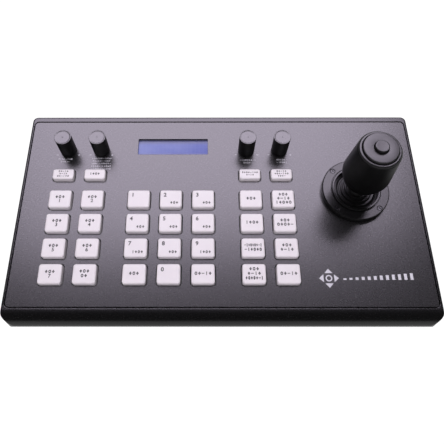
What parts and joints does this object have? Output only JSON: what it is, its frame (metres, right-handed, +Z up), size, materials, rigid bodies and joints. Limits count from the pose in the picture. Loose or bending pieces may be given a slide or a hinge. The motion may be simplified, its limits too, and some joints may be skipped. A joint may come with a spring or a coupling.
{
  "type": "joystick control console",
  "caption": "Desktop control console: wedge-shaped case with press keys, turning knobs, a display window and a sprung twist-grip joystick with a top button.",
  "frame": {"origin": "middle of the overall outline, on the surface the feet stand on", "axes": "+X to the operator's right along the keys, +Y away from the operator, +Z up"},
  "size_m": [0.32, 0.179, 0.1038],
  "materials": {
    "case_black": "fine-textured satin black powder coat",
    "cover_black": "plain black sheet steel",
    "rubber_black": "matt moulded rubber",
    "screw_steel": "machined steel",
    "panel_black": "fine-textured satin overlay",
    "board_green": "green solder mask",
    "post_brass": "turned brass",
    "switch_black": "moulded black plastic",
    "display_blue": "blue display behind a clear window",
    "display_frame": "folded sheet frame",
    "encoder_metal": "plated",
    "flange_black": "satin black anodised ring",
    "gimbal_grey": "glass-filled nylon",
    "gimbal_metal": "machined",
    "shaft_steel": "turned and ground",
    "boot_rubber": "soft satin rubber",
    "grip_black": "satin moulded plastic",
    "grip_top": "fine-textured moulded plastic",
    "grip_button": "fine-textured moulded plastic",
    "key_white": "satin moulded white plastic",
    "knob_black": "satin black, fine turned top",
    "socket_black": "moulded black plastic"
  },
  "bodies": {
    "case": {"board_posts": "post_brass", "boot": "boot_rubber", "bottom_cover": "cover_black", "case_screws": "screw_steel", "encoders": "encoder_metal", "flange_screws": "screw_steel", "gimbal_housing": "gimbal_grey", "key_switches": "switch_black", "lcd_module": "display_frame", "lcd_window": "display_blue", "main_board": "board_green", "pan_sensor": "switch_black", "panel_plate": "panel_black", "power_switch": "socket_black", "rear_sockets": "socket_black", "rubber_feet": "rubber_black", "stick_flange": "flange_black", "upper_case": "case_black"},
    "key_c1_r1": {"key_c1_r1": "key_white"},
    "key_c1_r2": {"key_c1_r2": "key_white"},
    "key_c1_r3": {"key_c1_r3": "key_white"},
    "key_c1_r4": {"key_c1_r4": "key_white"},
    "key_c2_r1": {"key_c2_r1": "key_white"},
    "key_c2_r2": {"key_c2_r2": "key_white"},
    "key_c2_r3": {"key_c2_r3": "key_white"},
    "key_c2_r4": {"key_c2_r4": "key_white"},
    "key_c3_r1": {"key_c3_r1": "key_white"},
    "key_c3_r2": {"key_c3_r2": "key_white"},
    "key_c3_r3": {"key_c3_r3": "key_white"},
    "key_c3_r4": {"key_c3_r4": "key_white"},
    "key_c4_r1": {"key_c4_r1": "key_white"},
    "key_c4_r2": {"key_c4_r2": "key_white"},
    "key_c4_r3": {"key_c4_r3": "key_white"},
    "key_c4_r4": {"key_c4_r4": "key_white"},
    "key_c5_r1": {"key_c5_r1": "key_white"},
    "key_c5_r2": {"key_c5_r2": "key_white"},
    "key_c5_r3": {"key_c5_r3": "key_white"},
    "key_c5_r4": {"key_c5_r4": "key_white"},
    "key_c6_r1": {"key_c6_r1": "key_white"},
    "key_c6_r2": {"key_c6_r2": "key_white"},
    "key_c6_r3": {"key_c6_r3": "key_white"},
    "key_c6_r4": {"key_c6_r4": "key_white"},
    "key_c7_r1": {"key_c7_r1": "key_white"},
    "key_c7_r2": {"key_c7_r2": "key_white"},
    "key_c7_r3": {"key_c7_r3": "key_white"},
    "key_c7_r4": {"key_c7_r4": "key_white"},
    "key_small_c1": {"key_small_c1": "key_white"},
    "key_small_c2": {"key_small_c2": "key_white"},
    "key_small_c6": {"key_small_c6": "key_white"},
    "key_small_c7": {"key_small_c7": "key_white"},
    "knob_1": {"knob_1": "knob_black"},
    "knob_2": {"knob_2": "knob_black"},
    "knob_3": {"knob_3": "knob_black"},
    "knob_4": {"knob_4": "knob_black"},
    "pan_yoke": {"pan_yoke": "gimbal_metal"},
    "stick": {"stick_shaft": "shaft_steel"},
    "grip": {"grip": "grip_black", "grip_cap": "grip_top"},
    "grip_button": {"grip_button": "grip_button"},
    "power_rocker": {"power_rocker": "switch_black"}
  },
  "joints": [
    {"name": "key_c1_r1_press", "type": "slide", "parent": "case", "child": "key_c1_r1", "axis": [0, 0.1392, -0.9903], "range_m": [0, 0.0012], "stiffness_N_per_m": 500},
    {"name": "key_c1_r2_press", "type": "slide", "parent": "case", "child": "key_c1_r2", "axis": [0, 0.1392, -0.9903], "range_m": [0, 0.0012], "stiffness_N_per_m": 500},
    {"name": "key_c1_r3_press", "type": "slide", "parent": "case", "child": "key_c1_r3", "axis": [0, 0.1392, -0.9903], "range_m": [0, 0.0012], "stiffness_N_per_m": 500},
    {"name": "key_c1_r4_press", "type": "slide", "parent": "case", "child": "key_c1_r4", "axis": [0, 0.1392, -0.9903], "range_m": [0, 0.0012], "stiffness_N_per_m": 500},
    {"name": "key_c2_r1_press", "type": "slide", "parent": "case", "child": "key_c2_r1", "axis": [0, 0.1392, -0.9903], "range_m": [0, 0.0012], "stiffness_N_per_m": 500},
    {"name": "key_c2_r2_press", "type": "slide", "parent": "case", "child": "key_c2_r2", "axis": [0, 0.1392, -0.9903], "range_m": [0, 0.0012], "stiffness_N_per_m": 500},
    {"name": "key_c2_r3_press", "type": "slide", "parent": "case", "child": "key_c2_r3", "axis": [0, 0.1392, -0.9903], "range_m": [0, 0.0012], "stiffness_N_per_m": 500},
    {"name": "key_c2_r4_press", "type": "slide", "parent": "case", "child": "key_c2_r4", "axis": [0, 0.1392, -0.9903], "range_m": [0, 0.0012], "stiffness_N_per_m": 500},
    {"name": "key_c3_r1_press", "type": "slide", "parent": "case", "child": "key_c3_r1", "axis": [0, 0.1392, -0.9903], "range_m": [0, 0.0012], "stiffness_N_per_m": 500},
    {"name": "key_c3_r2_press", "type": "slide", "parent": "case", "child": "key_c3_r2", "axis": [0, 0.1392, -0.9903], "range_m": [0, 0.0012], "stiffness_N_per_m": 500},
    {"name": "key_c3_r3_press", "type": "slide", "parent": "case", "child": "key_c3_r3", "axis": [0, 0.1392, -0.9903], "range_m": [0, 0.0012], "stiffness_N_per_m": 500},
    {"name": "key_c3_r4_press", "type": "slide", "parent": "case", "child": "key_c3_r4", "axis": [0, 0.1392, -0.9903], "range_m": [0, 0.0012], "stiffness_N_per_m": 500},
    {"name": "key_c4_r1_press", "type": "slide", "parent": "case", "child": "key_c4_r1", "axis": [0, 0.1392, -0.9903], "range_m": [0, 0.0012], "stiffness_N_per_m": 500},
    {"name": "key_c4_r2_press", "type": "slide", "parent": "case", "child": "key_c4_r2", "axis": [0, 0.1392, -0.9903], "range_m": [0, 0.0012], "stiffness_N_per_m": 500},
    {"name": "key_c4_r3_press", "type": "slide", "parent": "case", "child": "key_c4_r3", "axis": [0, 0.1392, -0.9903], "range_m": [0, 0.0012], "stiffness_N_per_m": 500},
    {"name": "key_c4_r4_press", "type": "slide", "parent": "case", "child": "key_c4_r4", "axis": [0, 0.1392, -0.9903], "range_m": [0, 0.0012], "stiffness_N_per_m": 500},
    {"name": "key_c5_r1_press", "type": "slide", "parent": "case", "child": "key_c5_r1", "axis": [0, 0.1392, -0.9903], "range_m": [0, 0.0012], "stiffness_N_per_m": 500},
    {"name": "key_c5_r2_press", "type": "slide", "parent": "case", "child": "key_c5_r2", "axis": [0, 0.1392, -0.9903], "range_m": [0, 0.0012], "stiffness_N_per_m": 500},
    {"name": "key_c5_r3_press", "type": "slide", "parent": "case", "child": "key_c5_r3", "axis": [0, 0.1392, -0.9903], "range_m": [0, 0.0012], "stiffness_N_per_m": 500},
    {"name": "key_c5_r4_press", "type": "slide", "parent": "case", "child": "key_c5_r4", "axis": [0, 0.1392, -0.9903], "range_m": [0, 0.0012], "stiffness_N_per_m": 500},
    {"name": "key_c6_r1_press", "type": "slide", "parent": "case", "child": "key_c6_r1", "axis": [0, 0.1392, -0.9903], "range_m": [0, 0.0012], "stiffness_N_per_m": 500},
    {"name": "key_c6_r2_press", "type": "slide", "parent": "case", "child": "key_c6_r2", "axis": [0, 0.1392, -0.9903], "range_m": [0, 0.0012], "stiffness_N_per_m": 500},
    {"name": "key_c6_r3_press", "type": "slide", "parent": "case", "child": "key_c6_r3", "axis": [0, 0.1392, -0.9903], "range_m": [0, 0.0012], "stiffness_N_per_m": 500},
    {"name": "key_c6_r4_press", "type": "slide", "parent": "case", "child": "key_c6_r4", "axis": [0, 0.1392, -0.9903], "range_m": [0, 0.0012], "stiffness_N_per_m": 500},
    {"name": "key_c7_r1_press", "type": "slide", "parent": "case", "child": "key_c7_r1", "axis": [0, 0.1392, -0.9903], "range_m": [0, 0.0012], "stiffness_N_per_m": 500},
    {"name": "key_c7_r2_press", "type": "slide", "parent": "case", "child": "key_c7_r2", "axis": [0, 0.1392, -0.9903], "range_m": [0, 0.0012], "stiffness_N_per_m": 500},
    {"name": "key_c7_r3_press", "type": "slide", "parent": "case", "child": "key_c7_r3", "axis": [0, 0.1392, -0.9903], "range_m": [0, 0.0012], "stiffness_N_per_m": 500},
    {"name": "key_c7_r4_press", "type": "slide", "parent": "case", "child": "key_c7_r4", "axis": [0, 0.1392, -0.9903], "range_m": [0, 0.0012], "stiffness_N_per_m": 500},
    {"name": "key_small_c1_press", "type": "slide", "parent": "case", "child": "key_small_c1", "axis": [0, 0.1392, -0.9903], "range_m": [0, 0.0012], "stiffness_N_per_m": 500},
    {"name": "key_small_c2_press", "type": "slide", "parent": "case", "child": "key_small_c2", "axis": [0, 0.1392, -0.9903], "range_m": [0, 0.0012], "stiffness_N_per_m": 500},
    {"name": "key_small_c6_press", "type": "slide", "parent": "case", "child": "key_small_c6", "axis": [0, 0.1392, -0.9903], "range_m": [0, 0.0012], "stiffness_N_per_m": 500},
    {"name": "key_small_c7_press", "type": "slide", "parent": "case", "child": "key_small_c7", "axis": [0, 0.1392, -0.9903], "range_m": [0, 0.0012], "stiffness_N_per_m": 500},
    {"name": "knob_1_turn", "type": "hinge", "parent": "case", "child": "knob_1", "pos_m": [-0.1254, 0.05174, 0.04154], "axis": [0, -0.1392, 0.9903], "continuous": true},
    {"name": "knob_2_turn", "type": "hinge", "parent": "case", "child": "knob_2", "pos_m": [-0.098, 0.05174, 0.04154], "axis": [0, -0.1392, 0.9903], "continuous": true},
    {"name": "knob_3_turn", "type": "hinge", "parent": "case", "child": "knob_3", "pos_m": [0.022, 0.05174, 0.04154], "axis": [0, -0.1392, 0.9903], "continuous": true},
    {"name": "knob_4_turn", "type": "hinge", "parent": "case", "child": "knob_4", "pos_m": [0.0494, 0.05174, 0.04154], "axis": [0, -0.1392, 0.9903], "continuous": true},
    {"name": "stick_pan", "type": "hinge", "parent": "case", "child": "pan_yoke", "pos_m": [0.1067, 0.01477, 0.0222], "axis": [0, 0.9903, 0.1392], "range_deg": [-18, 18], "stiffness_Nm_per_rad": 1.2, "deforming": ["boot"]},
    {"name": "stick_tilt", "type": "hinge", "parent": "pan_yoke", "child": "stick", "pos_m": [0.1067, 0.01477, 0.0222], "axis": [-1, 0, 0], "range_deg": [-18, 18], "stiffness_Nm_per_rad": 1.2},
    {"name": "grip_twist", "type": "hinge", "parent": "stick", "child": "grip", "pos_m": [0.1067, 0.00726, 0.07568], "axis": [0, -0.1392, 0.9903], "range_deg": [-30, 30], "stiffness_Nm_per_rad": 0.15},
    {"name": "grip_button_press", "type": "slide", "parent": "grip", "child": "grip_button", "axis": [0, 0.1392, -0.9903], "range_m": [0, 0.0015], "stiffness_N_per_m": 600},
    {"name": "power_rocker_tilt", "type": "hinge", "parent": "case", "child": "power_rocker", "pos_m": [0.1, 0.08654, 0.022], "axis": [0, 0, 1], "range_deg": [0, 24]}
  ]
}
